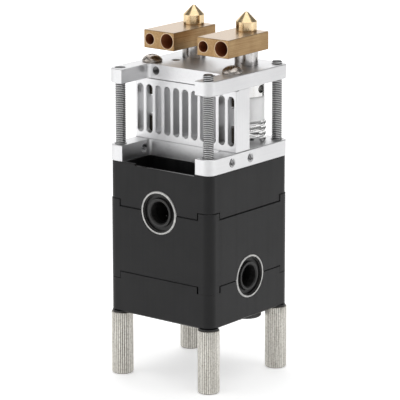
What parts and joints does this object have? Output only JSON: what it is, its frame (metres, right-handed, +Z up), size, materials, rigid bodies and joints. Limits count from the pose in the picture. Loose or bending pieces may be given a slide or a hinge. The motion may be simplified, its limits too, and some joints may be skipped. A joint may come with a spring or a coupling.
{
  "type": "dual nozzle print head",
  "caption": "Two-nozzle hotend stack: brass heater blocks over an aluminium slotted cooler, clamped by long thumb screws to a split housing that carries crossed linear bearings.",
  "frame": {"origin": "centre of the square formed by the four thumb-screw knobs, on the plane that they stand on", "axes": "+Z up towards the nozzle tips, -Y towards the open side of the fan bay, +X from the left hot end to the right one"},
  "size_m": [0.036, 0.036, 0.0995],
  "materials": {
    "housing_plastic": "fine satin moulded black",
    "bearing_steel": "ground",
    "bearing_ball_steel": "polished",
    "bearing_cage_plastic": "moulded black",
    "seal_rubber": "matt black",
    "plate_aluminium": "fine tumbled",
    "block_aluminium": "fine tumbled",
    "screw_steel": "bright",
    "thumb_nickel": "nickel plated",
    "washer_plastic": "black",
    "collet_plastic": "black",
    "seat_brass": "turned",
    "spring_steel": "bright wire",
    "liner_white": "turned white fluoropolymer",
    "coupler_steel": "turned and polished",
    "heater_brass": "fine ground",
    "nozzle_brass": "turned"
  },
  "bodies": {
    "head": {"lower_housing": "housing_plastic", "middle_housing": "housing_plastic", "upper_housing": "housing_plastic", "lower_bearing_sleeve": "bearing_steel", "lower_bearing_cage": "bearing_cage_plastic", "lower_bearing_balls": "bearing_ball_steel", "lower_bearing_seals": "seal_rubber", "upper_bearing_sleeve": "bearing_steel", "upper_bearing_cage": "bearing_cage_plastic", "upper_bearing_balls": "bearing_ball_steel", "upper_bearing_seals": "seal_rubber", "lower_plate": "plate_aluminium", "upper_plate": "plate_aluminium", "cooling_block": "block_aluminium", "pan_screws": "screw_steel", "countersunk_screws": "screw_steel", "collet_seat_left": "seat_brass", "coupler_spring_left": "spring_steel", "collet_seat_right": "seat_brass", "coupler_spring_right": "spring_steel"},
    "washer_front_left": {"thumb_washer_front_left": "washer_plastic"},
    "screw_front_left": {"thumb_screw_front_left": "thumb_nickel"},
    "washer_front_right": {"thumb_washer_front_right": "washer_plastic"},
    "screw_front_right": {"thumb_screw_front_right": "thumb_nickel"},
    "washer_rear_right": {"thumb_washer_rear_right": "washer_plastic"},
    "screw_rear_right": {"thumb_screw_rear_right": "thumb_nickel"},
    "washer_rear_left": {"thumb_washer_rear_left": "washer_plastic"},
    "screw_rear_left": {"thumb_screw_rear_left": "thumb_nickel"},
    "liner_left": {"liner_coupler_left": "liner_white"},
    "hot_end_left": {"steel_coupler_left": "coupler_steel", "heater_block_left": "heater_brass", "nozzle_left": "nozzle_brass"},
    "collet_left": {"tube_collet_left": "collet_plastic"},
    "liner_right": {"liner_coupler_right": "liner_white"},
    "hot_end_right": {"steel_coupler_right": "coupler_steel", "heater_block_right": "heater_brass", "nozzle_right": "nozzle_brass"},
    "collet_right": {"tube_collet_right": "collet_plastic"}
  },
  "joints": [
    {"name": "thumb_screw_front_left_travel", "type": "slide", "parent": "head", "child": "washer_front_left", "axis": [0, 0, -1], "range_m": [0, 0.0035]},
    {"name": "thumb_screw_front_left_turn", "type": "hinge", "parent": "washer_front_left", "child": "screw_front_left", "pos_m": [-0.015, -0.015, 0.0176], "axis": [0, 0, -1], "range_deg": [0, 2522]},
    {"name": "thumb_screw_front_right_travel", "type": "slide", "parent": "head", "child": "washer_front_right", "axis": [0, 0, -1], "range_m": [0, 0.0055]},
    {"name": "thumb_screw_front_right_turn", "type": "hinge", "parent": "washer_front_right", "child": "screw_front_right", "pos_m": [0.015, -0.015, 0.0176], "axis": [0, 0, -1], "range_deg": [0, 3962]},
    {"name": "thumb_screw_rear_right_travel", "type": "slide", "parent": "head", "child": "washer_rear_right", "axis": [0, 0, -1], "range_m": [0, 0.0045]},
    {"name": "thumb_screw_rear_right_turn", "type": "hinge", "parent": "washer_rear_right", "child": "screw_rear_right", "pos_m": [0.015, 0.015, 0.0176], "axis": [0, 0, -1], "range_deg": [0, 3242]},
    {"name": "thumb_screw_rear_left_travel", "type": "slide", "parent": "head", "child": "washer_rear_left", "axis": [0, 0, -1], "range_m": [0, 0.0045]},
    {"name": "thumb_screw_rear_left_turn", "type": "hinge", "parent": "washer_rear_left", "child": "screw_rear_left", "pos_m": [-0.015, 0.015, 0.0176], "axis": [0, 0, -1], "range_deg": [0, 3242]},
    {"name": "hot_end_left_float", "type": "slide", "parent": "head", "child": "liner_left", "axis": [0, 0, -1], "range_m": [0, 0.001], "stiffness_N_per_m": 2000, "springref_m": -0.0015, "deforming": ["coupler_spring_left"]},
    {"name": "hot_end_left_turn", "type": "hinge", "parent": "liner_left", "child": "hot_end_left", "pos_m": [-0.009, 0.0092, 0.0895], "axis": [0, 0, 1], "range_deg": [-12, 12]},
    {"name": "tube_collet_left_press", "type": "slide", "parent": "head", "child": "collet_left", "axis": [0, 0, 1], "range_m": [0, 0.00135]},
    {"name": "hot_end_right_float", "type": "slide", "parent": "head", "child": "liner_right", "axis": [0, 0, -1], "range_m": [0, 0.001], "stiffness_N_per_m": 2000, "springref_m": -0.0015, "deforming": ["coupler_spring_right"]},
    {"name": "hot_end_right_turn", "type": "hinge", "parent": "liner_right", "child": "hot_end_right", "pos_m": [0.009, 0.0092, 0.0895], "axis": [0, 0, 1], "range_deg": [-12, 12]},
    {"name": "tube_collet_right_press", "type": "slide", "parent": "head", "child": "collet_right", "axis": [0, 0, 1], "range_m": [0, 0.00135]}
  ],
  "couplings": [
    {"joint": "thumb_screw_front_left_turn", "follows": "thumb_screw_front_left_travel", "rad_per_m": 12566},
    {"joint": "thumb_screw_front_right_turn", "follows": "thumb_screw_front_right_travel", "rad_per_m": 12566},
    {"joint": "thumb_screw_rear_right_turn", "follows": "thumb_screw_rear_right_travel", "rad_per_m": 12566},
    {"joint": "thumb_screw_rear_left_turn", "follows": "thumb_screw_rear_left_travel", "rad_per_m": 12566}
  ]
}
